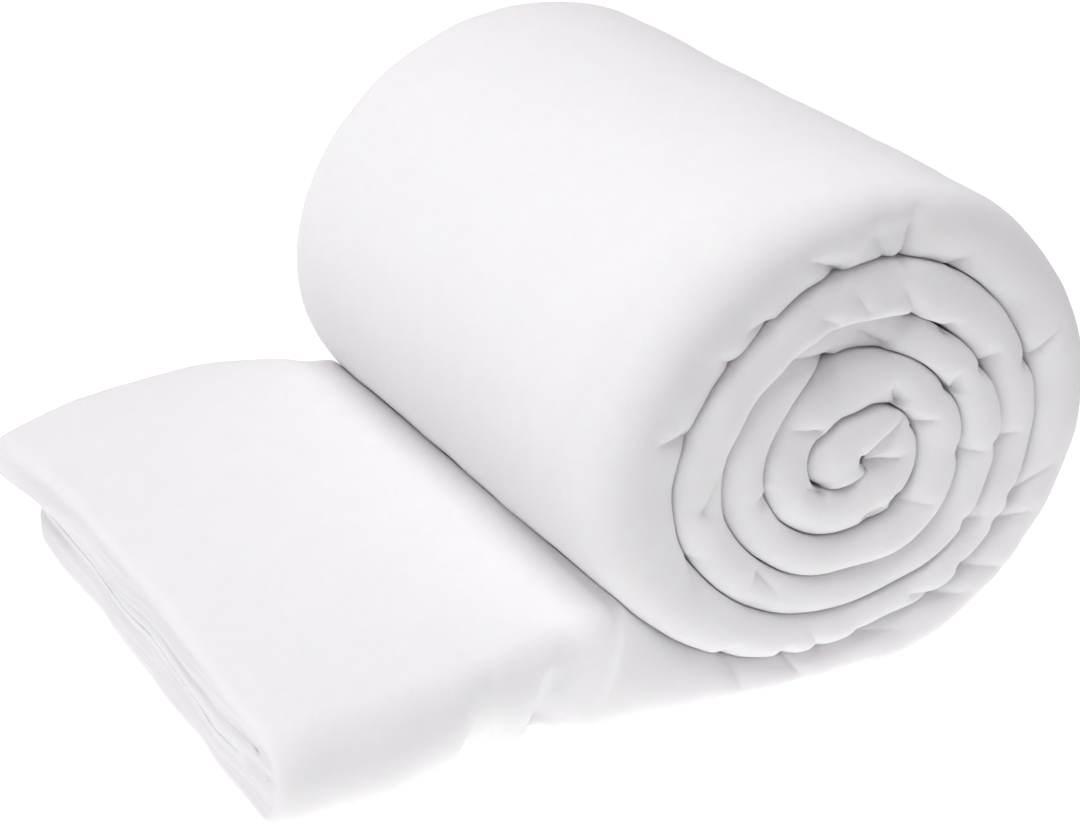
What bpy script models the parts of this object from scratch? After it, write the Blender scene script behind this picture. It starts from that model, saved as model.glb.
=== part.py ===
"""A loose roll of white polyester upholstery batting, lying on a flat surface.

One sheet of thick batting is folded in half along its length, wound into about
five turns from its inner end, and left with its last half metre lying flat as
a tail. The fold is at the near end (-Y), where the turns show as rounded
edges. The two cut edges lie together at the far end (+Y). The batting is
pressed thin inside the roll and lofts up again in the loose tail.

Metres, +Z up. The roll's axis runs along Y and the tail lies towards -X.
The origin is under the middle of the whole object, on the resting surface.
"""

import math

import bmesh
import bpy

# The sheet across its width, from its fold to its two cut edges
UPPER_WIDTH = 0.612
LOWER_WIDTH = 0.604
LOWER_WIDTH_AT_END = 0.566
TURN_GAP = 0.001
LAYER_GAP = 0.0014
END_GAP = 0.008
EDGE_ROUND = 0.010
INNER_EDGE_ROUND = 0.003
FOLD_POINTS = 5
FACE_ROWS = (0.16, 0.28, 0.40, 0.51)

# How deep the rounded fold is along Y, and where the space between the layers
# starts, as shares of the sheet's thickness
FOLD_DEPTH = 0.5
FOLD_DEPTH_MOST = 0.034
INNER_FOLD = 0.55

# The eye of the spiral, above the resting surface, in the winding's own x
EYE_X = 0.017
EYE_Z = 0.203

# How far each turn's outside is from the eye, in mm, one row for each turn
# from the outside in, by direction as the sheet runs inwards
TURN_RADII = (
    # bottom, lower right, right, upper right, top, upper left, left, lower left
    (206, 212, 230, 240, 250, 265, 266, 213),
    (167, 169, 177, 178, 178, 177, 186, 161),
    (136, 139, 139, 131, 127, 136, 138, 121),
    (102, 107, 101, 96, 92, 97, 99, 83),
    (66, 66, 59, 52, 41, 46, 54, 33),
    (7, 6, 5, 5, 4, 4, 4, 4),
)
TURN_STEPS = 32
TURNS = 4.72

# Where the roll's outside meets the top of the tail, in turns before the
# bottom, and the tail's underside there
CREASE_TURN = -0.19
CREASE_FOOT_X = -0.245

# The tail, from its crease with the roll to its cut end: where its underside
# and its top are in x, how far its folded edge is set back along Y, and its
# height at the fold, midway and at the cut edges. The edge has two soft notches.
TAIL = (
    # foot x, top x, set back, fold, middle, cut edges (metres)
    (-0.268, -0.238, 0.011, 0.104, 0.113, 0.119),
    (-0.285, -0.262, 0.022, 0.100, 0.116, 0.126),
    (-0.300, -0.280, 0.011, 0.100, 0.118, 0.130),
    (-0.335, -0.319, 0.013, 0.097, 0.120, 0.136),
    (-0.354, -0.340, 0.020, 0.094, 0.120, 0.138),
    (-0.375, -0.362, 0.002, 0.095, 0.120, 0.139),
    (-0.405, -0.394, -0.005, 0.093, 0.119, 0.137),
    (-0.445, -0.437, -0.012, 0.091, 0.117, 0.132),
    (-0.485, -0.480, -0.014, 0.089, 0.114, 0.124),
    (-0.513, -0.511, -0.015, 0.086, 0.109, 0.114),
    (-0.530, -0.530, -0.012, 0.080, 0.103, 0.106),
    (-0.538, -0.538, -0.006, 0.064, 0.086, 0.092),
)
# The top layer's far corner stands out past the lower one
CORNER_REACH = 0.036
CORNER_START = 0.36
CORNER_STATIONS = 5
SET_BACK = 2

# How far the folded edge wanders along Y from turn to turn
FOLD_WANDER = 0.007
FOLD_WAVES = 1.37

BATTING_COLOUR = (0.90, 0.90, 0.92, 1.0)
BATTING_ROUGHNESS = 0.95


def clear_scene():
    """Remove the scene's objects."""
    for obj in list(bpy.data.objects):
        bpy.data.objects.remove(obj, do_unlink=True)


def smooth_step(value):
    """Rise softly from 0 to 1 as value goes from 0 to 1."""
    t = min(max(value, 0.0), 1.0)
    return t * t * (3.0 - 2.0 * t)


def turn_radius(turn):
    """Distance from the eye to the outside of the winding, so many turns in."""
    radii = [mm / 1000.0 for row in TURN_RADII for mm in row]
    place = turn * len(TURN_RADII[0])
    index = min(int(place), len(radii) - 1)
    t = place - index
    before, here, after, later = (
        radii[min(max(index + step, 0), len(radii) - 1)] for step in (-1, 0, 1, 2)
    )
    bend = 2.0 * before - 5.0 * here + 4.0 * after - later
    twist = -before + 3.0 * here - 3.0 * after + later
    return here + 0.5 * t * ((after - before) + t * (bend + t * twist))


def around_eye(turn, radius):
    """The x and z of a point beside the eye, in the direction of a turn."""
    angle = math.tau * turn - math.pi / 2.0
    return EYE_X + radius * math.cos(angle), EYE_Z + radius * math.sin(angle)


def wound_station(turn):
    """Foot, and top at the fold, middle and cut edges, of the sheet in the roll."""
    foot_x, foot_z = around_eye(turn, turn_radius(turn))
    top = around_eye(turn, turn_radius(turn + 1.0) + TURN_GAP)
    return (foot_x, max(foot_z, 0.0)), (top, top, top)


def pressed_station(turn):
    """The same where the sheet lies flat under the roll, before its first turn."""
    share = turn / CREASE_TURN
    foot = (EYE_X + (CREASE_FOOT_X - EYE_X) * share, 0.0)
    x, z = around_eye(turn, turn_radius(turn + 1.0))
    top = (x, z - TURN_GAP)
    return foot, (top, top, top)


def tail_station(row):
    """The same in the loose tail."""
    foot_x, top_x, _, fold, middle, cut = row
    return (foot_x, 0.0), ((top_x, fold), (top_x, middle), (top_x, cut))


def across(tops, share):
    """The top of the sheet at a share of the way from the fold to the cut edges."""
    fold, middle, cut = tops
    if share < 0.5:
        first, second, t = fold, middle, smooth_step(share * 2.0)
    else:
        first, second, t = middle, cut, share * 2.0 - 1.0
    return tuple(a + (b - a) * t for a, b in zip(first, second))


def section(station, fold_y, lower_width=LOWER_WIDTH, gap=LAYER_GAP, corner=0.0):
    """One hairpin section of the folded sheet, as points (x, y, z) in a ring.

    It runs along the underside to the fold, round it, back along the top, and
    then in and out of the narrow space between the two layers.
    """
    foot, tops = station
    thick = math.dist(foot, tops[1])
    depth = min(FOLD_DEPTH * thick, FOLD_DEPTH_MOST)
    inner_y = fold_y + INNER_FOLD * thick
    half_gap = gap / (2.0 * thick)
    bevel = EDGE_ROUND / thick
    inner_bevel = INNER_EDGE_ROUND / thick

    def place(y, share):
        top = across(tops, y / UPPER_WIDTH)
        x = foot[0] + (top[0] - foot[0]) * share
        z = foot[1] + (top[1] - foot[1]) * share
        reach = corner * max(2.0 * share - 1.0, 0.0)
        x -= reach * smooth_step((y - CORNER_START) / (UPPER_WIDTH - CORNER_START))
        return x, y, z

    lower_ys = (lower_width - EDGE_ROUND,) + FACE_ROWS[::-1]
    upper_ys = FACE_ROWS + (UPPER_WIDTH - EDGE_ROUND,)
    ring = [place(y, 0.0) for y in lower_ys]
    ring.append(place(fold_y + depth, 0.0))
    for step in range(1, FOLD_POINTS + 1):
        turn = math.pi * step / (FOLD_POINTS + 1)
        ring.append(place(fold_y + depth * (1.0 - math.sin(turn)), 0.5 - 0.5 * math.cos(turn)))
    ring.append(place(fold_y + depth, 1.0))
    ring += [place(y, 1.0) for y in upper_ys]
    ring.append(place(UPPER_WIDTH, 1.0 - bevel))
    ring.append(place(UPPER_WIDTH, 0.5 + half_gap + inner_bevel))
    ring += [place(y, 0.5 + half_gap) for y in upper_ys[::-1]]
    ring.append(place(inner_y, 0.5))
    ring += [place(y, 0.5 - half_gap) for y in lower_ys[::-1]]
    ring.append(place(lower_width, 0.5 - half_gap - inner_bevel))
    ring.append(place(lower_width, bevel))
    return ring


def all_sections():
    """The sections from the tail's cut end to the inner end of the winding."""
    sections = []
    for number, row in enumerate(reversed(TAIL)):
        near_end = smooth_step(1.0 - number / CORNER_STATIONS)
        width = LOWER_WIDTH + (LOWER_WIDTH_AT_END - LOWER_WIDTH) * near_end
        gap = LAYER_GAP + (END_GAP - LAYER_GAP) * near_end ** 2
        corner = CORNER_REACH * near_end
        sections.append(section(tail_station(row), row[SET_BACK], width, gap, corner))
    first = math.ceil(CREASE_TURN * TURN_STEPS)
    last = round(TURNS * TURN_STEPS)
    for number in range(first, last + 1):
        turn = number / TURN_STEPS
        station = pressed_station(turn) if number < 0 else wound_station(turn)
        wander = FOLD_WANDER * math.cos(math.tau * FOLD_WAVES * (turn - first / TURN_STEPS))
        sections.append(section(station, wander))
    return sections


def end_faces(ring):
    """The flat faces that close a hairpin section, as lists of its points."""
    rows = len(FACE_ROWS) + 1
    fold_first = rows
    fold_last = rows + FOLD_POINTS + 1
    inner = fold_last + 2 * rows + 3
    faces = [ring[fold_first:fold_last + 1] + [ring[inner]]]
    faces.append([ring[fold_last], ring[fold_last + 1], ring[inner - 1], ring[inner]])
    faces.append([ring[fold_first - 1], ring[fold_first], ring[inner], ring[inner + 1]])
    for row in range(1, rows):
        top = fold_last + row
        faces.append([ring[top], ring[top + 1], ring[inner - row - 1], ring[inner - row]])
        foot = fold_first - row
        faces.append([ring[foot - 1], ring[foot], ring[inner + row], ring[inner + row + 1]])
    edge = fold_last + rows
    faces.append([ring[edge], ring[edge + 1], ring[edge + 2], ring[edge + 3]])
    faces.append([ring[0], ring[inner + rows], ring[inner + rows + 1], ring[inner + rows + 2]])
    return faces


def centre_over_origin(mesh):
    """Move the mesh so that the middle of its underside is at the origin."""
    low = [min(v.co[axis] for v in mesh.verts) for axis in range(3)]
    high = [max(v.co[axis] for v in mesh.verts) for axis in range(3)]
    shift = (-(low[0] + high[0]) / 2.0, -(low[1] + high[1]) / 2.0, -low[2])
    bmesh.ops.translate(mesh, vec=shift, verts=mesh.verts)


def build_batting():
    """The whole folded and wound sheet, as one closed mesh."""
    mesh = bmesh.new()
    rings = [[mesh.verts.new(point) for point in ring] for ring in all_sections()]
    count = len(rings[0])
    for ring, after in zip(rings, rings[1:]):
        for k in range(count):
            n = (k + 1) % count
            mesh.faces.new((ring[k], ring[n], after[n], after[k]))
    for face in end_faces(rings[0]):
        mesh.faces.new(face)
    for face in end_faces(rings[-1]):
        mesh.faces.new(face[::-1])
    centre_over_origin(mesh)
    bmesh.ops.recalc_face_normals(mesh, faces=mesh.faces)
    data = bpy.data.meshes.new("batting")
    mesh.to_mesh(data)
    mesh.free()
    batting = bpy.data.objects.new("batting", data)
    bpy.context.collection.objects.link(batting)
    data.shade_smooth()
    return batting


def batting_material():
    """Matt white bonded polyester fibre."""
    material = bpy.data.materials.new("white_polyester_batting")
    material.use_nodes = True
    shader = material.node_tree.nodes["Principled BSDF"]
    shader.inputs["Base Color"].default_value = BATTING_COLOUR
    shader.inputs["Roughness"].default_value = BATTING_ROUGHNESS
    shader.inputs["Metallic"].default_value = 0.0
    return material


def main():
    clear_scene()
    batting = build_batting()
    batting.data.materials.append(batting_material())


main()
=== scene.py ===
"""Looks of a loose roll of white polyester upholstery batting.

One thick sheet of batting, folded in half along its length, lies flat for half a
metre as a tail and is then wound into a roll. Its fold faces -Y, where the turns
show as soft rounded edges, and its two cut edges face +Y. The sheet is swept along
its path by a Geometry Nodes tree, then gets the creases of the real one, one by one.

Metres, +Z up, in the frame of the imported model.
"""

import math

import bmesh
import bpy
import numpy as np
from mathutils import Matrix, Vector, noise


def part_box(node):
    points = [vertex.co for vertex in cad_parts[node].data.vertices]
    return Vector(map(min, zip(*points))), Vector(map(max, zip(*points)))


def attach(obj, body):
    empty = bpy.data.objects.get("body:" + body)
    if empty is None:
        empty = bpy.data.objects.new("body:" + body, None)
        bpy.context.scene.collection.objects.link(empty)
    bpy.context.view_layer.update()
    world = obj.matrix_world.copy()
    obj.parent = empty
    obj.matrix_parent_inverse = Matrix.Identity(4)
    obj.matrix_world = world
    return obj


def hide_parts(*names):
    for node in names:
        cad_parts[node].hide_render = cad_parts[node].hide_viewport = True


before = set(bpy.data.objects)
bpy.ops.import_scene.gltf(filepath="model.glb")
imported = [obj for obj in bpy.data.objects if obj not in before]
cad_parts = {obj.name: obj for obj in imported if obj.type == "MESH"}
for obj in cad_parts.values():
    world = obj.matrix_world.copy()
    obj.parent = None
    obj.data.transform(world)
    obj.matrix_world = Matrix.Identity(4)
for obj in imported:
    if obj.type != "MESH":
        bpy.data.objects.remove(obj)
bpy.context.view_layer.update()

MM = 0.001

# The sheet across its width, from its fold to its two cut edges: the upper layer, the
# lower one, and the lower one at the tail's cut end
UPPER_WIDTH = 0.612
LOWER_WIDTH = 0.604
LOWER_WIDTH_AT_END = 0.566
# How far apart its turns lie, in the roll and where the roll rests on the tail, and
# its two layers, inside and at the tail's cut end
TURN_GAP = 0.0008
CREASE_GAP = 0.0003
LAYER_GAP = 0.0014
END_GAP = 0.0004
# How round its cut edges are, and how deep the inside of its fold lies, as a share of
# its thickness
EDGE_ROUND = 0.008
INNER_FOLD = 0.72

# How far back the fold has rounded off where it meets its neighbours, as a share of
# its thickness and at most: in the open, and pressed between two turns of the roll,
# which comes in over a part of a turn. In the core its inner side hardly does.
FOLD_DEPTH = 0.46
FOLD_DEPTH_MOST = 0.034
PRESSED_DEPTH = 0.36
PRESSED_DEPTH_MOST = 0.017
PRESSED_WITHIN = 0.12
CORE_DEPTH = 0.004
CORE_TURN = 3.9

# The eye of the spiral, above the resting surface, in the winding's own x, and
# how far from it the tail reaches
EYE_X = 0.017
EYE_Z = 0.203
TAIL_REACH = 0.5738

# How far each turn's outside is from the eye, in mm, one row for each turn
# from the outside in, by direction as the sheet runs inwards
TURN_RADII = (
    # bottom, lower right, right, upper right, top, upper left, left, lower left
    (206, 212, 230, 240, 250, 265, 266, 213),
    (167, 169, 177, 178, 178, 177, 186, 161),
    (136, 139, 139, 131, 127, 136, 138, 121),
    (102, 107, 101, 96, 92, 97, 99, 83),
    (66, 66, 59, 52, 41, 46, 54, 33),
    (4, 3, 3, 2, 2, 2, 1, 1),
)
# Stations a turn, how many turns there are, where the tail meets the roll, in turns and
# in x, and from which turn on the outside of the sheet is hidden
TURN_STEPS = 32
TURNS = 4.82
CREASE_TURN = -0.19
CREASE_FOOT_X = -0.245
HIDDEN_TURN = 0.84

# The tail, from its crease with the roll to its cut end: where its underside and
# its top are in x, how far its folded edge is set back along Y, and its height
TAIL = (
    # foot x, top x, set back at foot, at top, fold, middle, cut edges (metres)
    (-0.254, -0.214, 0.008, 0.006, 0.104, 0.1125, 0.1155),
    (-0.268, -0.238, 0.015, 0.008, 0.104, 0.113, 0.119),
    (-0.285, -0.262, 0.028, 0.009, 0.100, 0.116, 0.126),
    (-0.300, -0.280, 0.015, 0.007, 0.100, 0.118, 0.130),
    (-0.335, -0.319, 0.018, 0.003, 0.097, 0.120, 0.136),
    (-0.354, -0.340, 0.026, 0.001, 0.094, 0.120, 0.138),
    (-0.375, -0.362, 0.004, -0.003, 0.095, 0.120, 0.139),
    (-0.405, -0.394, -0.003, -0.007, 0.093, 0.119, 0.137),
    (-0.445, -0.437, -0.011, -0.010, 0.091, 0.117, 0.132),
    (-0.485, -0.480, -0.014, -0.012, 0.089, 0.114, 0.124),
    (-0.513, -0.511, -0.015, -0.012, 0.086, 0.109, 0.114),
    (-0.526, -0.526, -0.013, -0.011, 0.082, 0.105, 0.108),
)
# The upper layer's far corner of the cut end reaches out over the lower one: how far,
# from where along Y, over how many stations, and in which part of the thickness
CORNER_REACH = 0.036
CORNER_START = 0.36
CORNER_STATIONS = 5
CORNER_LOW = 0.5
CORNER_MOST = 0.75
CORNER_HIGH = 1.2

# How far the folded edge wanders along Y from turn to turn, and its small puckers,
# with the lane of the noise that each side of the fold follows
FOLD_WANDER = 0.002
FOLD_WAVES = 1.37
PUCKER_LENGTH = 0.055
PUCKER_HEIGHT = 0.006
PUCKER_LANES = (("fold_y", 3.3), ("fold_top_y", 4.7))

# Where a turn of the roll is set back behind its neighbours, or stands out
RECESSES = (
    # turn, over how much of a turn, depth (mm)
    (1.50, 0.10, -4),
    (2.50, 0.08, 29),
    (3.50, 0.12, 4),
)

# How finely the sheet is meshed: spacing along its path, points round its fold,
# where rows lie on its faces, points round the corners of its cut edges, and how the
# long faces that show are cut across. Its ends are closed by a weld.
OUTER_SPACING = 0.0048
INNER_SPACING = 0.0036
PATH_SAMPLES = 8
FOLD_POINTS = 19
FOLD_GROUPS = 4
FACE_ROWS = (0.10, 0.38, 0.70)
CORNER_POINTS = 3
LONG_EDGE = 0.04
FACE_SPACING = 0.018
WELD_DISTANCE = 0.00005

# The rounded ends of the sheet: their length, how square they are, how their steps
# crowd together at the rim, and how deep the groove between the two layers is at the
# tail's cut end
CLOSING_STEPS = 12
CLOSING_LENGTH = 0.013
CLOSING_POWER = 0.6
CLOSING_CROWD = 1.5
GROOVE_DEPTH = 0.0014
# Where an end closes: how far up the lower layer's middle lies, as a share of the
# thickness, and how far the fold draws in there, as a share of its depth
LAYER_MIDDLE = 0.25
FOLD_DRAWN_IN = 0.4
# Past which share a point counts as at an edge of the sheet, and up to which part of
# the rounding of a cut edge as on its cut face
AT_EDGE = 0.99
ROUNDED = 0.9

# Creases on the folded end, in mm from the eye: from the pocket between two turns
# where a crease is deepest to where it fades out
CREASES = (
    # from x, from z, to x, to z, depth, half width
    (18, 176, -6, 220, 5, 5),
    (34, 172, 40, 232, 9, 4),
    (-32, 177, -76, 206, 11, 5),
    (87, 161, 101, 170, 6, 5),
    (163, 52, 196, 94, 10, 5),
    (154, -72, 204, -41, 9, 5),
    (141, -91, 187, -86, 7, 4),
    (105, -124, 163, -139, 7, 4),
    (53, -142, 126, -153, 7, 4),
    (-3, -167, 53, -173, 7, 4),
    (-136, -150, -108, -205, 8, 6),
    (-78, -166, -48, -205, 8, 5),
    (-179, 60, -222, 63, 7, 5),
    (-103, 147, -136, 148, 6, 5),
    (-137, 118, -157, 132, 5, 4),
    (50, 119, 30, 158, 12, 5),
    (81, 104, 85, 112, 8, 5),
    (-6, 138, -25, 166, 5, 5),
    (119, 59, 133, 77, 10, 6),
    (134, -14, 162, -6, 8, 4),
    (110, -84, 132, -80, 6, 4),
    (-168, -58, -168, -92, 5, 5),
    (-36, -176, -62, -134, 5, 5),
    (-39, 133, -60, 148, 7, 5),
    (25, 95, -4, 116, 8, 4),
    (89, 48, 91, 68, 9, 5),
    (97, -13, 126, -18, 8, 4),
    (-25, 91, -89, 110, 12, 5),
    (-161, -12, -144, 28, 6, 8),
    (-103, -84, -80, -112, 8, 5),
    (36, 44, 26, 68, 12, 5),
    (-47, 35, -81, 46, 8, 4),
    (53, 20, 73, 24, 9, 4),
    (35, -48, 76, -58, 7, 4),
    (9, -58, 33, -48, 7, 4),
    (-101, -14, -98, -27, 7, 5),
    (-3, -2, 50, 36, 12, 4),
    (3, -3, 50, -7, 9, 4),
    (-41, -22, -67, -9, 10, 6),
    (-302, -190, -295, -128, 15, 8),
    (-352, -200, -346, -166, 6, 5),
)
# How far back from the fold they reach, and by what their depth and width are scaled
CREASE_REACH = 0.05
CREASE_DEPTH = 1.3
CREASE_WIDTH = 1.2
# How a crease fades along its length, how much further into the pocket it starts,
# and over what share of its length it comes in
CREASE_FADE = 2.2
CREASE_BEFORE = 7
CREASE_COMES = 0.16
# How much of a crease goes straight in along Y, and the rest square to the surface
STRAIGHT_IN = 0.8
# Where the mesh is cut finer once, and how near a crease's line a second time, and
# how it is evened out there
CREASED = 2.0 * MM
SHARPLY_CREASED = 1.2 * MM
SHARP_WIDTH = 0.6
SMOOTH_PASSES = 1
SMOOTH_SHARE = 0.5

# Wider hollows of the folded end, in mm from the eye
HOLLOWS = (
    # from x, from z, to x, to z, depth, half width
    (60, 150, -60, 158, 5, 18),
    (2, 203, 30, 203, 5, 15),
    (-276, -151, -272, -140, 5, 14),
)

# The roll's soft upper left rim: how far it sinks in, along what length, at what
# radius and how fast more with it, and between which directions in degrees it comes
# and goes
RIM_DROP = 0.014
RIM_LENGTH = 0.09
RIM_RADIUS = 0.24
RIM_POWER = 3
RIM_COMES = (55.0, 115.0)
RIM_GOES = (150.0, 195.0)

# The cut end of the tail: how far in it is uneven, its waves and those of its groove,
# each with its lane of the noise, and the faint lines beside the groove
END_REACH = 0.06
END_WAVE_LENGTH = 0.09
END_WAVE = 0.004
END_LANE = 5.1
GROOVE_WAVE_LENGTH = 0.14
GROOVE_WAVE = 0.008
GROOVE_SHARE = 0.25
GROOVE_LANE = 1.7
END_LINES_FROM = 0.5
END_LINES = (
    # above the middle, half width, depth (mm)
    (8, 5, 3.0),
    (-9, 5, 2.4),
)

# Between which parts of its rounding an end of the sheet turns into its cut face
CUT_COMES = (0.1, 0.5)

# Unevenness of the wadding, which fades out towards the floor
LUMPS = (
    # size, height (mm)
    (180, 2.6),
    (60, 1.1),
    (22, 0.45),
)
LUMP_SEED = 7
FLOOR_FADE = 0.04

# The web of fibre: how wide its thicker and thinner clouds are, the size and height of
# its swirls and tufts, and the laid layers that a cut face shows, with how far one runs
CLOUD_SIZE = 0.040
SWIRL_SIZE = 0.007
SWIRL_HEIGHT = 0.0007
TUFT_SIZE = 0.002
TUFT_HEIGHT = 0.0005
LAYER_THICK = 0.006
LAYER_RUN = 0.12

# Its colours, each from a darker to a lighter one, with where in the noise they lie
CLOUD_COLOURS = ("#f7f6f8", "#faf9fb")
CLOUD_RANGE = (0.35, 0.65)
# The cut face's colours follow its laid layers and are a little darker than the clouds, which
# is painted shade for the small shadows deep in the cut web
LAYER_AND_SHADE_COLOURS = ("#eae7eb", "#f3f1f4")
LAYER_RANGE = (0.38, 0.62)

# How it takes light, which sinks about 12 mm into the web
FIBRE_FINISH = {
    "Roughness": 0.95,
    "Specular IOR Level": 0.2,
    "Subsurface Weight": 0.75,
    "Subsurface Radius": (1.0, 0.8, 0.9),
    "Subsurface Scale": 0.012,
    "Sheen Weight": 0.2,
    "Sheen Roughness": 0.6,
}

# The studio's floor, a light table: how far it reaches, how low it lies, its finish,
# and how strongly it glows, which fades from behind to in front along Y
FLOOR_REACH = 8.0
FLOOR_Z = -0.0004
FLOOR_FINISH = {"Roughness": 1.0, "Specular IOR Level": 0.0}
FLOOR_COLOUR = "#959595"
GLOW_COLOUR = "#ffffff"
GLOW_FRONT_Y = -1.4
GLOW_BACK_Y = -0.5
GLOW_IN_FRONT = 0.35
GLOW_BEHIND = 1.0

# Its light: an even white all round, and a square softbox overhead
SURROUND_COLOUR = "#fff7ff"
SURROUND_STRENGTH = 0.35
SOFTBOX_SIDE = 2.4
SOFTBOX_POWER = 89.0
SOFTBOX_PLACE = (-1.1, -0.35, 3.6)
SOFTBOX_AIM = (0.0, 0.0, 0.2)

# The photo's view: a lens of so many mm, where it stands, how far it looks down, and
# how far it is turned to the right of +Y, in degrees
LENS = 93.31
SENSOR = 36.0
CAMERA_PLACE = (-1.0649, -2.0590, 1.2164)
CAMERA_DOWN = 24.39
CAMERA_RIGHT = 27.84


def smooth_step(value):
    """Rise softly from 0 to 1 as value goes from 0 to 1."""
    t = np.clip(value, 0.0, 1.0)
    return t * t * (3.0 - 2.0 * t)


def between(value, low_high):
    """Rise softly from 0 to 1 as value goes from low to high."""
    low, high = low_high
    return smooth_step((value - low) / (high - low))


def catmull_rom(rows, places):
    """Smooth values between rows of numbers, at fractional row numbers."""
    rows = np.asarray(rows, float)
    places = np.asarray(places, float)
    index = np.minimum(places.astype(int), len(rows) - 1)
    t = places - index
    before, here, after, later = (
        rows[np.clip(index + step, 0, len(rows) - 1)] for step in (-1, 0, 1, 2)
    )
    if rows.ndim > 1:
        t = t[..., None]
    bend = 2.0 * before - 5.0 * here + 4.0 * after - later
    twist = -before + 3.0 * here - 3.0 * after + later
    return here + 0.5 * t * ((after - before) + t * (bend + t * twist))


def turn_radius(turn):
    """Distance from the eye to the outside of the winding, so many turns in."""
    radii = np.ravel(TURN_RADII) * MM
    return float(catmull_rom(radii, turn * len(TURN_RADII[0])))


def around_eye(turn, radius):
    """The x and z of a point beside the eye, in the direction of a turn."""
    angle = math.tau * turn - math.pi / 2.0
    return EYE_X + radius * math.cos(angle), EYE_Z + radius * math.sin(angle)


# What each station of the path says of the sheet there
PATH_FIELDS = (
    "turn", "foot_x", "foot_z", "top_x", "top_fold", "top_middle", "top_cut",
    "fold_y", "fold_top_y", "lower_width", "layer_gap", "corner",
)


def tail_row(number, row):
    """One station of the loose tail, counted from its cut end."""
    foot_x, top_x, foot_y, top_y, fold, middle, cut = row
    near_end = float(smooth_step(1.0 - number / CORNER_STATIONS))
    width = LOWER_WIDTH + (LOWER_WIDTH_AT_END - LOWER_WIDTH) * near_end
    gap = LAYER_GAP + (END_GAP - LAYER_GAP) * near_end ** 2
    turn = CREASE_TURN - (len(TAIL) - number) / TURN_STEPS
    return (turn, foot_x, 0.0, top_x, fold, middle, cut, foot_y, top_y, width, gap,
            CORNER_REACH * near_end)


def wound_row(number, first):
    """One station of the roll, or of the sheet pressed flat under it."""
    turn = number / TURN_STEPS
    if number < 0:
        foot = (EYE_X + (CREASE_FOOT_X - EYE_X) * turn / CREASE_TURN, 0.0)
        x, z = around_eye(turn, turn_radius(turn + 1.0))
        top = (x, z - CREASE_GAP)
    else:
        foot = around_eye(turn, turn_radius(turn))
        top = around_eye(turn, turn_radius(turn + 1.0) + TURN_GAP)
    wander = FOLD_WANDER * math.cos(math.tau * FOLD_WAVES * (turn - first / TURN_STEPS))
    return (turn, foot[0], max(foot[1], 0.0), top[0], top[1], top[1], top[1],
            wander, wander, LOWER_WIDTH, LAYER_GAP, 0.0)


def path_rows():
    """The listed stations, from the tail's cut end to the inner end of the roll."""
    first = math.ceil(CREASE_TURN * TURN_STEPS)
    last = round(TURNS * TURN_STEPS)
    rows = [tail_row(number, row) for number, row in enumerate(reversed(TAIL))]
    rows += [wound_row(number, first) for number in range(first, last + 1)]
    return np.array(rows)


def even_rows(rows):
    """Stations at an even spacing along the sheet, closer where the turns are small."""
    places = np.arange(0.0, len(rows) - 1, 1.0 / PATH_SAMPLES)
    dense = dict(zip(PATH_FIELDS, catmull_rom(rows, places).T))
    middle_x = (dense["foot_x"] + dense["top_x"]) / 2.0
    middle_z = (dense["foot_z"] + dense["top_middle"]) / 2.0
    spacing = np.where(dense["turn"][1:] < 1.0, OUTER_SPACING, INNER_SPACING)
    steps = np.hypot(np.diff(middle_x), np.diff(middle_z)) / spacing
    run = np.concatenate(([0.0], np.cumsum(steps)))
    even = np.linspace(0.0, run[-1], round(run[-1]) + 1)
    return catmull_rom(rows, np.interp(even, run, places))


def add_puckers(path):
    """Let the folded edge come and go along Y."""
    steps = np.hypot(np.diff(path["foot_x"]), np.diff(path["foot_z"]))
    run = np.concatenate(([0.0], np.cumsum(steps))) / PUCKER_LENGTH
    recess = sum(depth * MM * np.exp(-((path["turn"] - turn) / reach) ** 2)
                 for turn, reach, depth in RECESSES)
    for field, lane in PUCKER_LANES:
        path[field] += recess
        path[field] += [PUCKER_HEIGHT * noise.noise((at, lane, 0.0)) for at in run]


def closed_rows(row, direction):
    """Stations that round off an end of the sheet, from its row outwards."""
    closing = np.linspace(0.0, 1.0, CLOSING_STEPS + 1)[1:] ** CLOSING_CROWD
    rise = np.sqrt(1.0 - (1.0 - closing) ** (2.0 / CLOSING_POWER))
    rows = np.repeat(row[None, :], CLOSING_STEPS, axis=0)
    path = dict(zip(PATH_FIELDS, rows.T))
    for field in ("foot_x", "top_x"):
        path[field] += direction[0] * CLOSING_LENGTH * rise
    for field in ("foot_z", "top_fold", "top_middle", "top_cut"):
        path[field] += direction[1] * CLOSING_LENGTH * rise
    return rows, closing, rise


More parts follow.
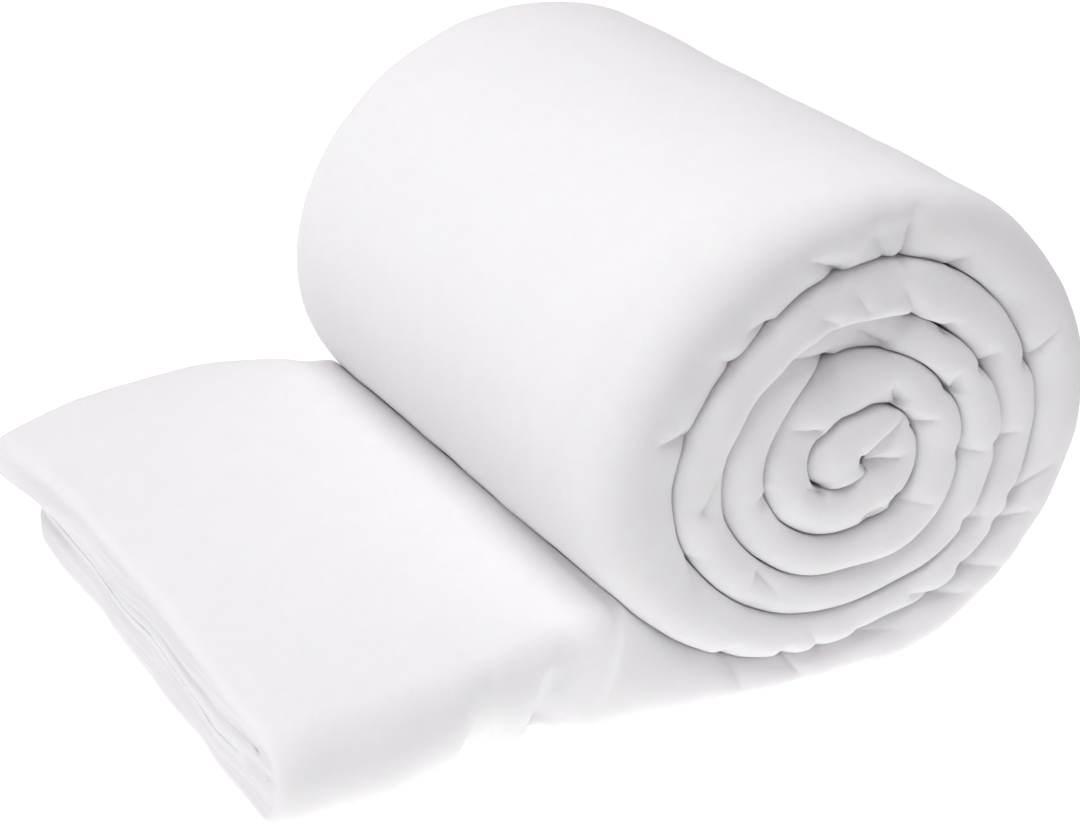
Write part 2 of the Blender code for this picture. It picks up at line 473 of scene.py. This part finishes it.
def fine_path():
    """Stations along the whole sheet and round both its ends, as named columns."""
    rows = even_rows(path_rows())
    add_puckers(dict(zip(PATH_FIELDS, rows.T)))
    inward = rows[-1, 1:3] - rows[-2, 1:3]
    cut, cut_closing, cut_rise = closed_rows(rows[0], (-1.0, 0.0))
    core, core_closing, _ = closed_rows(rows[-1], inward / np.linalg.norm(inward))
    open_rows = np.zeros(len(rows))
    path = dict(zip(PATH_FIELDS, np.concatenate((cut[::-1], rows, core)).T))
    path["closing"] = np.concatenate((cut_closing[::-1], open_rows, core_closing))
    mouth = (CLOSING_LENGTH - GROOVE_DEPTH) * (1.0 - cut_rise)
    path["mouth"] = np.concatenate((mouth[::-1], open_rows, 0.0 * core_closing))
    thick = np.hypot(path["top_x"] - path["foot_x"], path["top_middle"] - path["foot_z"])
    path["outside_depth"] = np.minimum(FOLD_DEPTH * thick, FOLD_DEPTH_MOST)
    path["inside_depth"] = path["outside_depth"].copy()
    pressed = np.minimum(PRESSED_DEPTH * thick, PRESSED_DEPTH_MOST)
    for field, first_turn in (("outside_depth", 1.0), ("inside_depth", 0.0)):
        path[field] += (pressed - path[field]) * smooth_step(
            (path["turn"] - first_turn) / PRESSED_WITHIN)
    in_core = smooth_step((path["turn"] - CORE_TURN) / PRESSED_WITHIN)
    path["inside_depth"] += (CORE_DEPTH - path["inside_depth"]) * in_core
    path["inner_y"] = path["fold_y"] + INNER_FOLD * thick
    path["half_gap"] = 0.5 * path["layer_gap"] / thick
    path["bevel"] = EDGE_ROUND / thick
    return path


# What each point of the hairpin section says of its place on the sheet
SECTION_FIELDS = (
    "along", "fold", "share", "upper", "inner", "back", "gap_side", "bevel_side",
    "closed_fold", "closed_share",
)


def section_columns():
    """The points of one hairpin section, as named columns.

    It runs along the underside to the fold, round it, back along the top, round the
    upper cut edge, in and out of the space between the layers, and round the lower one.
    """
    points = []

    def point(along, fold, share, upper, inner=0, back=0.0, gap_side=0, bevel_side=0.0,
              closed_turn=None):
        closed = (1.0, 1.0 - LAYER_MIDDLE if upper else LAYER_MIDDLE)
        if closed_turn is not None:
            closed = (1.0 - FOLD_DRAWN_IN * math.sin(closed_turn),
                      0.5 - (0.5 - LAYER_MIDDLE) * math.cos(closed_turn))
        points.append((along, fold, share, upper, inner, back, gap_side, bevel_side, *closed))

    rows = FACE_ROWS + (1.0,)
    corner = np.linspace(0.0, math.pi / 2.0, CORNER_POINTS + 1)[1:]
    for along in rows[::-1]:
        point(along, 1.0, 0.0, 0, back=float(along == 1.0))
    for angle in np.linspace(0.0, math.pi, FOLD_POINTS):
        group = round(FOLD_GROUPS * angle / math.pi)
        upper = int(angle > math.pi / 2.0)
        point(0.0, 1.0 - math.sin(angle), 0.5 - 0.5 * math.cos(angle), upper,
              closed_turn=group * math.pi / FOLD_GROUPS)
    for along in rows:
        point(along, 1.0, 1.0, 1, back=float(along == 1.0))
    for angle in corner:
        point(1.0, 1.0, 1.0, 1, back=1.0 - math.sin(angle), bevel_side=math.cos(angle) - 1.0)
    for angle in corner[::-1]:
        point(1.0, 1.0, 0.5, 1, back=0.5 - 0.5 * math.sin(angle), gap_side=1,
              bevel_side=0.5 - 0.5 * math.cos(angle))
    for along in rows[::-1]:
        point(along, 1.0, 0.5, 1, inner=1, back=float(along == 1.0), gap_side=1)
    for group in range(FOLD_GROUPS, -1, -1):
        side = np.sign(2 * group - FOLD_GROUPS)
        point(0.0, 1.0, 0.5, int(side > 0), inner=1, gap_side=side,
              closed_turn=group * math.pi / FOLD_GROUPS)
    for along in rows:
        point(along, 1.0, 0.5, 0, inner=1, back=float(along == 1.0), gap_side=-1)
    for angle in corner:
        point(1.0, 1.0, 0.5, 0, back=0.5 - 0.5 * math.sin(angle), gap_side=-1,
              bevel_side=0.5 * math.cos(angle) - 0.5)
    for angle in corner[::-1]:
        point(1.0, 1.0, 0.0, 0, back=1.0 - math.sin(angle), bevel_side=1.0 - math.cos(angle))
    return dict(zip(SECTION_FIELDS, np.array(points, float).T))


def line_object(name, points, columns, closed):
    """A line of points that carry named values, for a tree to read."""
    count = len(points)
    edges = [(k, (k + 1) % count) for k in range(count if closed else count - 1)]
    mesh = bpy.data.meshes.new(name)
    mesh.from_pydata([tuple(p) for p in points], edges, [])
    for field, values in columns.items():
        layer = mesh.attributes.new(field, "FLOAT", "POINT")
        layer.data.foreach_set("value", np.asarray(values, np.float32))
    return bpy.data.objects.new(name, mesh)


def add_node(tree, kind, feeds=None, **settings):
    """Add a node, set it, and feed its inputs with values or other nodes' outputs."""
    node = tree.nodes.new(kind)
    for name, value in settings.items():
        setattr(node, name, value)
    for key, value in (feeds or {}).items():
        if isinstance(value, bpy.types.Node):
            value = value.outputs[0]
        if isinstance(value, bpy.types.NodeSocket):
            tree.links.new(value, node.inputs[key])
        else:
            node.inputs[key].default_value = value
    return node


# How a point of the sheet is worked out from its path and section values. MIX goes
# from its second to its third value with its first; RISE and SOFT_RISE go from 0 to
# 1 while their first is between the other two; the rest is arithmetic.
SWEEP_STEPS = (
    # result, step, its three values
    ("width", "MIX", "upper", "lower_width", "Width"),
    ("fold_edge", "MIX", "share", "fold_y", "fold_top_y"),
    ("fold_depth", "MIX", "share", "outside_depth", "inside_depth"),
    ("outer_start", "MULTIPLY_ADD", "fold", "fold_depth", "fold_edge"),
    ("start", "MIX", "inner", "outer_start", "inner_y"),
    ("set_back", "MULTIPLY", "back", "Edge Round", 0.0),
    ("cut_edge", "SUBTRACT", "width", "set_back", 0.0),
    ("open_y", "MIX", "along", "start", "cut_edge"),
    ("closed_edge", "MIX", "closed_share", "fold_y", "fold_top_y"),
    ("closed_depth", "MIX", "closed_share", "outside_depth", "inside_depth"),
    ("closed_start", "MULTIPLY_ADD", "closed_fold", "closed_depth", "closed_edge"),
    ("closed_cut", "SUBTRACT", "width", "Edge Round", 0.0),
    ("closed_y", "MIX", "along", "closed_start", "closed_cut"),
    ("y", "MIX", "closing", "open_y", "closed_y"),
    ("past_gap", "MULTIPLY_ADD", "gap_side", "half_gap", "share"),
    ("open_share", "MULTIPLY_ADD", "bevel_side", "bevel", "past_gap"),
    ("up", "MIX", "closing", "open_share", "closed_share"),
    ("half_width", "MULTIPLY", "Width", 0.5, 0.0),
    ("near_half", "SOFT_RISE", "y", 0.0, "half_width"),
    ("far_half", "RISE", "y", "half_width", "Width"),
    ("near_top", "MIX", "near_half", "top_fold", "top_middle"),
    ("top_z", "MIX", "far_half", "near_top", "top_cut"),
    ("z", "MIX", "up", "foot_z", "top_z"),
    ("upper_layer", "RISE", "up", CORNER_LOW, CORNER_MOST),
    ("to_corner", "SOFT_RISE", "y", "Corner Start", "Width"),
    ("under_top", "RISE", "up", CORNER_HIGH, CORNER_MOST),
    ("corner_share", "MULTIPLY", "upper_layer", "under_top", 0.0),
    ("corner_reach", "MULTIPLY", "corner_share", "to_corner", 0.0),
    ("reach", "MULTIPLY", "corner_reach", "corner", 0.0),
    ("level_x", "MIX", "up", "foot_x", "top_x"),
    ("reaching_x", "SUBTRACT", "level_x", "reach", 0.0),
    ("mouth_x", "MULTIPLY", "inner", "mouth", 0.0),
    ("x", "SUBTRACT", "reaching_x", "mouth_x", 0.0),
)
SWEEP_INPUTS = (
    ("Path", "NodeSocketGeometry"),
    ("Section", "NodeSocketObject"),
    ("Width", "NodeSocketFloat"),
    ("Edge Round", "NodeSocketFloat"),
    ("Corner Start", "NodeSocketFloat"),
    ("Weld Distance", "NodeSocketFloat"),
    ("Material", "NodeSocketMaterial"),
)


def new_tree(name, inputs, output):
    """An empty Geometry Nodes tree with named inputs, and those inputs' sockets."""
    tree = bpy.data.node_groups.new(name, "GeometryNodeTree")
    for title, kind in inputs:
        tree.interface.new_socket(title, in_out="INPUT", socket_type=kind)
    tree.interface.new_socket(output, in_out="OUTPUT", socket_type="NodeSocketGeometry")
    return tree, add_node(tree, "NodeGroupInput").outputs


def sweep_tree():
    """Geometry Nodes that sweep the hairpin section along the path and close its ends."""
    tree, given = new_tree("folded_sheet_sweep", SWEEP_INPUTS, "Sheet")
    known = {socket.name: socket for socket in given}
    fields = PATH_FIELDS + ("closing", "mouth", "outside_depth", "inside_depth", "inner_y",
                            "half_gap", "bevel")
    for field in fields + SECTION_FIELDS:
        known[field] = add_node(tree, "GeometryNodeInputNamedAttribute", {"Name": field})
    for result, step, *values in SWEEP_STEPS:
        first, second, third = (known.get(value, value) for value in values)
        if step == "MIX":
            known[result] = add_node(tree, "ShaderNodeMapRange",
                                     {"Value": first, "To Min": second, "To Max": third})
        elif step.endswith("RISE"):
            ease = "SMOOTHSTEP" if step == "SOFT_RISE" else "LINEAR"
            known[result] = add_node(tree, "ShaderNodeMapRange",
                                     {"Value": first, "From Min": second, "From Max": third},
                                     interpolation_type=ease)
        else:
            known[result] = add_node(tree, "ShaderNodeMath", {0: first, 1: second, 2: third},
                                     operation=step)
    place = add_node(tree, "ShaderNodeCombineXYZ",
                     {"X": known["x"], "Y": known["y"], "Z": known["z"]})

    path = add_node(tree, "GeometryNodeMeshToCurve", {"Mesh": given["Path"]})
    info = add_node(tree, "GeometryNodeObjectInfo", {"Object": given["Section"]})
    section = add_node(tree, "GeometryNodeMeshToCurve", {"Mesh": info.outputs["Geometry"]})
    swept = add_node(tree, "GeometryNodeCurveToMesh", {"Curve": path, "Profile Curve": section})
    shaped = add_node(tree, "GeometryNodeSetPosition", {"Geometry": swept, "Position": place})
    closed = add_node(tree, "GeometryNodeMergeByDistance",
                      {"Geometry": shaped, "Distance": given["Weld Distance"]})
    smooth = add_node(tree, "GeometryNodeSetShadeSmooth", {"Geometry": closed})
    real = add_node(tree, "GeometryNodeRealizeInstances", {"Geometry": smooth})
    finished = add_node(tree, "GeometryNodeSetMaterial",
                        {"Geometry": real, "Material": given["Material"]})
    add_node(tree, "NodeGroupOutput", {"Sheet": finished})
    return tree


def made_by_tree(source, tree, values, name):
    """The plain mesh that a tree makes of an object, as a new object."""
    modifier = source.modifiers.new(name, "NODES")
    modifier.node_group = tree
    for socket in tree.interface.items_tree:
        if socket.name in values:
            modifier[socket.identifier] = values[socket.name]
    bpy.context.scene.collection.objects.link(source)
    bpy.context.view_layer.update()
    graph = bpy.context.evaluated_depsgraph_get()
    mesh = bpy.data.meshes.new_from_object(source.evaluated_get(graph), depsgraph=graph)
    source.modifiers.remove(modifier)
    bpy.data.objects.remove(source)
    piece = bpy.data.objects.new(name, mesh)
    bpy.context.scene.collection.objects.link(piece)
    return piece


def values_of(mesh, field):
    """A named value of every point of a mesh."""
    values = np.empty(len(mesh.vertices), np.float32)
    mesh.attributes[field].data.foreach_get("value", values)
    return values.astype(float)


def places_of(mesh):
    """Where every point of a mesh is."""
    places = np.empty(len(mesh.vertices) * 3, np.float32)
    mesh.vertices.foreach_get("co", places)
    return places.reshape(-1, 3).astype(float)


def normals_of(mesh):
    """Which way every point of a mesh faces."""
    normals = np.empty(len(mesh.vertices) * 3, np.float32)
    mesh.vertex_normals.foreach_get("vector", normals)
    return normals.reshape(-1, 3).astype(float)


def move_to(mesh, places):
    """Put the points of a mesh at new places."""
    mesh.vertices.foreach_set("co", places.ravel())
    mesh.update()


def beside_line(points, line, before=0.0):
    """How far points lie from a line that starts so much before its first point, and
    how far along it, from 0 to 1.
    """
    from_x, from_z, to_x, to_z = line
    start = np.array((from_x, from_z)) * MM
    along = np.array((to_x, to_z)) * MM - start
    start -= along / np.linalg.norm(along) * before
    along = np.array((to_x, to_z)) * MM - start
    share = np.clip((points - start) @ along / (along @ along), 0.0, 1.0)
    away = points - start - share[:, None] * along
    return np.linalg.norm(away, axis=1), share


def pressed_in(mesh):
    """How deep the folded end's creases are at every point, how deep right at their
    lines alone, and how deep the hollows are.

    A crease is where two puffs of wadding meet, so its sides get steeper inwards.
    """
    places = places_of(mesh)
    points = places[:, [0, 2]] - (EYE_X, EYE_Z)
    from_fold = (places[:, 1] - values_of(mesh, "fold_y")) / CREASE_REACH
    front = (1.0 - smooth_step(from_fold)) * (values_of(mesh, "inner") < 0.5)
    creases, lines, hollows = np.zeros((3, len(places)))
    for *line, depth, half_width in CREASES:
        away, along = beside_line(points, line, CREASE_BEFORE * MM)
        across = away / (half_width * MM)
        deep = CREASE_DEPTH * depth * MM * (1.0 - along ** CREASE_FADE)
        deep *= smooth_step(along / CREASE_COMES)
        creases = np.maximum(creases, deep * np.exp(-across / CREASE_WIDTH))
        lines = np.maximum(lines, deep * np.exp(-(across / SHARP_WIDTH) ** 2))
    for *line, depth, half_width in HOLLOWS:
        away, _ = beside_line(points, line)
        hollows += depth * MM * np.exp(-(away / (half_width * MM)) ** 2)
    return creases * front, lines * front, hollows * front


def refine(sheet):
    """Cut faces finer where the sheet's outside shows and where it is creased."""
    mesh = bmesh.new()
    mesh.from_mesh(sheet.data)
    share, turn, inner, closing = (
        mesh.verts.layers.float[field] for field in ("share", "turn", "inner", "closing")
    )

    def shows(vert):
        if vert[turn] < CREASE_TURN:
            return vert[closing] > 0.0 or (vert[share] > AT_EDGE and vert[inner] < 0.5)
        return vert[share] < 1.0 - AT_EDGE and vert[turn] < HIDDEN_TURN

    long_edges = [
        edge for edge in mesh.edges
        if abs(edge.verts[0].co.y - edge.verts[1].co.y) > LONG_EDGE
        and abs(edge.verts[0].co.x - edge.verts[1].co.x) < LONG_EDGE
        and all(shows(vert) for vert in edge.verts)
    ]
    cuts = round(max(np.diff(FACE_ROWS + (1.0,))) * UPPER_WIDTH / FACE_SPACING)
    bmesh.ops.subdivide_edges(mesh, edges=long_edges, cuts=cuts, use_grid_fill=True)
    mesh.to_mesh(sheet.data)
    for part, least in ((0, CREASED), (1, SHARPLY_CREASED)):
        depth = pressed_in(sheet.data)[part]
        mesh.clear()
        mesh.from_mesh(sheet.data)
        creased_edges = [
            edge for edge in mesh.edges if all(depth[vert.index] > least for vert in edge.verts)
        ]
        bmesh.ops.subdivide_edges(mesh, edges=creased_edges, cuts=1, use_grid_fill=True)
        bmesh.ops.recalc_face_normals(mesh, faces=mesh.faces)
        mesh.to_mesh(sheet.data)
    mesh.free()


def crease_folded_end(sheet):
    """Press the creases and hollows into the folded end, and let its rim sink."""
    mesh = sheet.data
    creases, _, hollows = pressed_in(mesh)
    places = places_of(mesh)
    normals = normals_of(mesh)
    places -= (1.0 - STRAIGHT_IN) * normals * creases[:, None]
    places[:, 1] += STRAIGHT_IN * creases + hollows
    points = places[:, [0, 2]] - (EYE_X, EYE_Z)
    radius = np.linalg.norm(points, axis=1)
    angle = np.degrees(np.arctan2(points[:, 1], points[:, 0])) % 360.0
    facing = between(angle, RIM_COMES) * (1.0 - between(angle, RIM_GOES))
    wound = values_of(mesh, "turn") > 0.0
    drop = RIM_DROP * (1.0 - smooth_step(places[:, 1] / RIM_LENGTH)) * facing * wound
    drop *= (radius / RIM_RADIUS) ** RIM_POWER
    places[:, [0, 2]] -= points / np.maximum(radius, MM)[:, None] * drop[:, None]
    move_to(mesh, places)
    soften(mesh, creases > CREASED)


def soften(mesh, chosen):
    """Even out the mesh round the creases."""
    fine = bmesh.new()
    fine.from_mesh(mesh)
    verts = [vert for vert, wanted in zip(fine.verts, chosen) if wanted]
    for _ in range(SMOOTH_PASSES):
        bmesh.ops.smooth_vert(fine, verts=verts, factor=SMOOTH_SHARE, use_axis_x=True,
                              use_axis_y=True, use_axis_z=True)
    fine.to_mesh(mesh)
    fine.free()


def shape_cut_end(sheet):
    """Make the tail's cut end uneven, with faint wavy lines beside its groove."""
    mesh = sheet.data
    places = places_of(mesh)
    end_x = TAIL[-1][0]
    near_end = smooth_step(1.0 - (places[:, 0] - end_x) / END_REACH)
    up = values_of(mesh, "share")
    waves = np.array([noise.noise((y / GROOVE_WAVE_LENGTH, GROOVE_LANE, 0.0))
                      for y in places[:, 1]])
    middle = np.exp(-((up - 0.5) / GROOVE_SHARE) ** 2)
    off_floor = smooth_step(places[:, 2] / FLOOR_FADE)
    places[:, 2] += GROOVE_WAVE * waves * middle * near_end * off_floor
    edge = [noise.noise((y / END_WAVE_LENGTH, z / END_WAVE_LENGTH, END_LANE))
            for _, y, z in places]
    places[:, 0] += END_WAVE * np.array(edge) * near_end
    top_z = TAIL[-1][5]
    closed = smooth_step(values_of(mesh, "closing") / END_LINES_FROM)
    for above, half_width, depth in END_LINES:
        line_z = top_z / 2.0 + above * MM + GROOVE_WAVE * waves
        line = np.exp(-((places[:, 2] - line_z) / (half_width * MM)) ** 2)
        places[:, 0] += depth * MM * line * near_end * closed
    move_to(mesh, places)


def mark_cut_faces(sheet):
    """Note where the sheet has been cut, and how far through it each point lies."""
    mesh = sheet.data
    foot = np.column_stack([values_of(mesh, field) for field in ("foot_x", "foot_z")])
    top = np.column_stack([values_of(mesh, field) for field in ("top_x", "top_middle")])
    thick = np.linalg.norm(top - foot, axis=1)
    through = ((places_of(mesh)[:, [0, 2]] - foot) * (top - foot)).sum(axis=1) / thick
    far_side = (values_of(mesh, "along") > AT_EDGE) * (values_of(mesh, "back") < ROUNDED)
    end = between(values_of(mesh, "closing"), CUT_COMES)
    for name, values in (("cut_face", np.maximum(end, far_side)), ("through", through)):
        layer = mesh.attributes.new(name, "FLOAT", "POINT")
        layer.data.foreach_set("value", values.astype(np.float32))


def loft(sheet):
    """Give the wadding its soft unevenness, the same on surfaces that touch."""
    places = places_of(sheet.data)
    shift = np.zeros_like(places)
    noise.seed_set(LUMP_SEED)
    for size, height in LUMPS:
        shift += height * MM * np.array([noise.noise_vector(p) for p in places / (size * MM)])
    shift[:, 2] *= smooth_step(places[:, 2] / FLOOR_FADE)
    places += shift
    places[:, 2] = np.maximum(places[:, 2], 0.0)
    move_to(sheet.data, places)


def linear(hex_colour):
    """An sRGB hex colour as the linear values that shaders take."""
    values = [int(hex_colour[k:k + 2], 16) / 255.0 for k in (1, 3, 5)]
    return (*(v / 12.92 if v <= 0.04045 else ((v + 0.055) / 1.055) ** 2.4 for v in values), 1.0)


def batting_material():
    """Bonded polyester fibre, carded into a thick web and laid in layers.

    The web is matt and full of air, so light sinks in and comes back soft and even.
    Its crimped fibres stand off the surface, which lights up its edges like a bloom,
    and lie in faint clouds and swirls a few millimetres across.
    """
    material = bpy.data.materials.new("white_polyester_batting")
    material.use_nodes = True
    tree = material.node_tree
    shader = tree.nodes["Principled BSDF"]
    where = add_node(tree, "ShaderNodeTexCoord").outputs["Object"]
    # Thicker and thinner clouds of the carded web
    clouds = add_node(tree, "ShaderNodeTexNoise",
                      {"Vector": where, "Scale": 1.0 / CLOUD_SIZE, "Detail": 3.0,
                       "Roughness": 0.55})
    cloud_colour = add_node(tree, "ShaderNodeValToRGB", {"Fac": clouds.outputs["Fac"]})
    # A cut face shows the web's laid layers, which follow the sheet, painted a little darker as
    # shade for the small shadows deep in the cut web
    cut = add_node(tree, "ShaderNodeAttribute", attribute_name="cut_face")
    through = add_node(tree, "ShaderNodeAttribute", attribute_name="through")
    layer = add_node(tree, "ShaderNodeMath",
                     {0: through.outputs["Fac"], 1: LAYER_RUN / LAYER_THICK},
                     operation="MULTIPLY")
    layers = add_node(tree, "ShaderNodeTexNoise",
                      {"Vector": where, "W": layer, "Scale": 1.0 / LAYER_RUN, "Detail": 2.0,
                       "Roughness": 0.5}, noise_dimensions="4D")
    layer_and_shade_colour = add_node(tree, "ShaderNodeValToRGB", {"Fac": layers.outputs["Fac"]})
    for ramp, spots, colours in ((cloud_colour, CLOUD_RANGE, CLOUD_COLOURS),
                                 (layer_and_shade_colour, LAYER_RANGE, LAYER_AND_SHADE_COLOURS)):
        for stop, spot, colour in zip(ramp.color_ramp.elements, spots, colours):
            stop.position = spot
            stop.color = linear(colour)
    # A colour mix takes its share at input 0 and its colours at 6 and 7, and gives its
    # colour at output 2
    seen = add_node(tree, "ShaderNodeMix",
                    {0: cut.outputs["Fac"], 6: cloud_colour.outputs["Color"],
                     7: layer_and_shade_colour.outputs["Color"]}, data_type="RGBA")
    tree.links.new(seen.outputs[2], shader.inputs["Base Color"])
    # Swirls of crimped fibre, and single tufts. Real fibre is 0.03 mm thick, so it is
    # drawn as the tufts that can still be seen.
    swirls = add_node(tree, "ShaderNodeTexNoise",
                      {"Vector": where, "Scale": 1.0 / SWIRL_SIZE, "Detail": 4.0,
                       "Roughness": 0.6, "Distortion": 1.6})
    tufts = add_node(tree, "ShaderNodeTexNoise",
                     {"Vector": where, "Scale": 1.0 / TUFT_SIZE, "Detail": 3.0,
                      "Roughness": 0.7, "Distortion": 2.5})
    soft = add_node(tree, "ShaderNodeBump",
                    {"Height": swirls.outputs["Fac"], "Distance": SWIRL_HEIGHT,
                     "Strength": 0.5})
    fibrous = add_node(tree, "ShaderNodeBump",
                       {"Height": tufts.outputs["Fac"], "Distance": TUFT_HEIGHT,
                        "Strength": 0.5, "Normal": soft})
    tree.links.new(fibrous.outputs["Normal"], shader.inputs["Normal"])
    for socket, value in FIBRE_FINISH.items():
        shader.inputs[socket].default_value = value
    return material


def build_batting():
    """The whole sheet of batting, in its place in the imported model."""
    path = fine_path()
    section = section_columns()
    points = np.column_stack((path["foot_x"], 0.0 * path["foot_x"], path["foot_z"]))
    angles = np.linspace(0.0, math.tau, len(section["along"]), endpoint=False)
    ring = np.column_stack((np.cos(angles), np.sin(angles), 0.0 * angles)) * EDGE_ROUND
    source = line_object("batting_path", points, path, closed=False)
    outline = line_object("batting_section", ring, section, closed=True)
    sheet = made_by_tree(source, sweep_tree(), {
        "Section": outline, "Width": UPPER_WIDTH, "Edge Round": EDGE_ROUND,
        "Corner Start": CORNER_START, "Weld Distance": WELD_DISTANCE,
        "Material": batting_material(),
    }, "batting_sheet")
    bpy.data.objects.remove(outline)
    refine(sheet)
    mark_cut_faces(sheet)
    crease_folded_end(sheet)
    shape_cut_end(sheet)
    loft(sheet)
    low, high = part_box("batting")
    in_frame = Matrix.Translation((low.x + TAIL_REACH, high.y - UPPER_WIDTH, 0.0))
    sheet.data.transform(in_frame)
    sheet.data.shade_smooth()
    return sheet


def make_floor():
    """A plain white floor, lit from below as a light table is, and less so in front."""
    corners = [(FLOOR_REACH * x, FLOOR_REACH * y, FLOOR_Z)
               for x, y in ((-1, -1), (1, -1), (1, 1), (-1, 1))]
    mesh = bpy.data.meshes.new("floor")
    mesh.from_pydata(corners, [], [(0, 1, 2, 3)])
    floor = bpy.data.objects.new("floor", mesh)
    bpy.context.scene.collection.objects.link(floor)
    material = bpy.data.materials.new("white_studio_floor")
    material.use_nodes = True
    tree = material.node_tree
    shader = tree.nodes["Principled BSDF"]
    shader.inputs["Base Color"].default_value = linear(FLOOR_COLOUR)
    shader.inputs["Emission Color"].default_value = linear(GLOW_COLOUR)
    for socket, value in FLOOR_FINISH.items():
        shader.inputs[socket].default_value = value
    where = add_node(tree, "ShaderNodeTexCoord").outputs["Object"]
    away = add_node(tree, "ShaderNodeSeparateXYZ", {"Vector": where})
    glow = add_node(tree, "ShaderNodeMapRange",
                    {"Value": away.outputs["Y"], "From Min": GLOW_FRONT_Y,
                     "From Max": GLOW_BACK_Y, "To Min": GLOW_IN_FRONT, "To Max": GLOW_BEHIND},
                    interpolation_type="SMOOTHSTEP")
    tree.links.new(glow.outputs["Result"], shader.inputs["Emission Strength"])
    floor.data.materials.append(material)


def make_camera():
    """The photo's view: a long lens, from the front left and above."""
    data = bpy.data.cameras.new("camera")
    data.lens = LENS
    data.sensor_width = SENSOR
    camera = bpy.data.objects.new("camera", data)
    camera.location = CAMERA_PLACE
    camera.rotation_euler = (math.radians(90.0 - CAMERA_DOWN), 0.0,
                             -math.radians(CAMERA_RIGHT))
    bpy.context.scene.collection.objects.link(camera)
    bpy.context.scene.camera = camera


def make_light():
    """A white studio: even light from all round, and a softbox high up on the left."""
    world = bpy.data.worlds.new("white_studio")
    world.use_nodes = True
    background = world.node_tree.nodes["Background"]
    background.inputs["Color"].default_value = linear(SURROUND_COLOUR)
    background.inputs["Strength"].default_value = SURROUND_STRENGTH
    bpy.context.scene.world = world
    data = bpy.data.lights.new("softbox", "AREA")
    data.shape = "SQUARE"
    data.size = SOFTBOX_SIDE
    data.energy = SOFTBOX_POWER
    light = bpy.data.objects.new("softbox", data)
    light.location = SOFTBOX_PLACE
    aim = Vector(SOFTBOX_AIM) - light.location
    light.rotation_euler = aim.to_track_quat("-Z", "Y").to_euler()
    bpy.context.scene.collection.objects.link(light)
    bpy.context.scene.view_settings.view_transform = "Standard"


batting = build_batting()
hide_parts("batting")
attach(batting, "root")
make_floor()
make_camera()
make_light()
